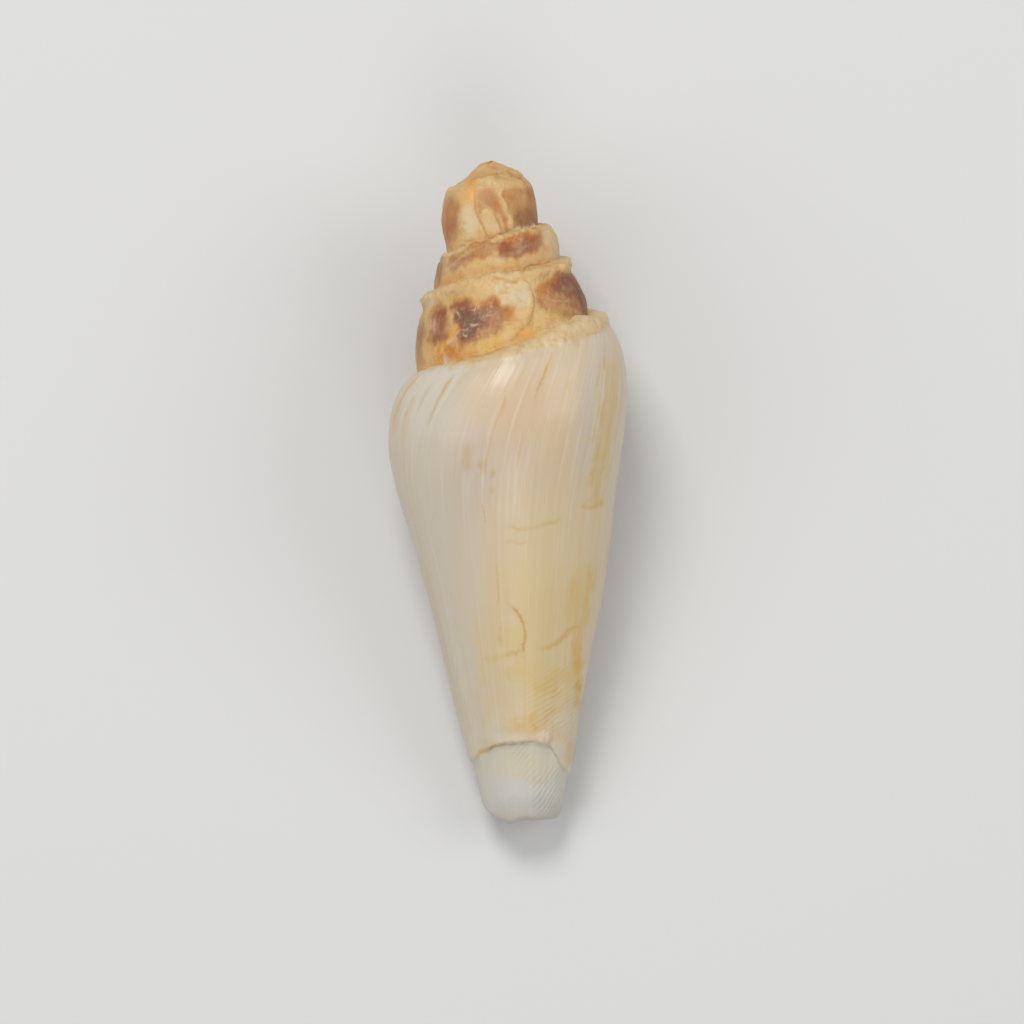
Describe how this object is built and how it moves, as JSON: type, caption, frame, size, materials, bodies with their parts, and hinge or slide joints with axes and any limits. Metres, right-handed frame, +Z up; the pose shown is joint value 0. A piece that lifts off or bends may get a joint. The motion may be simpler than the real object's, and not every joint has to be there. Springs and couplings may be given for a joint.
{
  "type": "radial cone shell",
  "caption": "Slender cone shell with a worn, stepped spire, a long body tapering to a narrow base and a straight mouth slit; lies on its mouth side for display.",
  "frame": {"origin": "middle of the bounding box, on the plane the shell rests on", "axes": "+Y along the shell towards the apex, +Z up out of the back, +X to the right when the apex is seen at the top from above"},
  "size_m": [0.0218, 0.0596, 0.0199],
  "materials": {
    "shell_surface": "satin"
  },
  "bodies": {
    "root": {"shell": "shell_surface"}
  },
  "joints": []
}
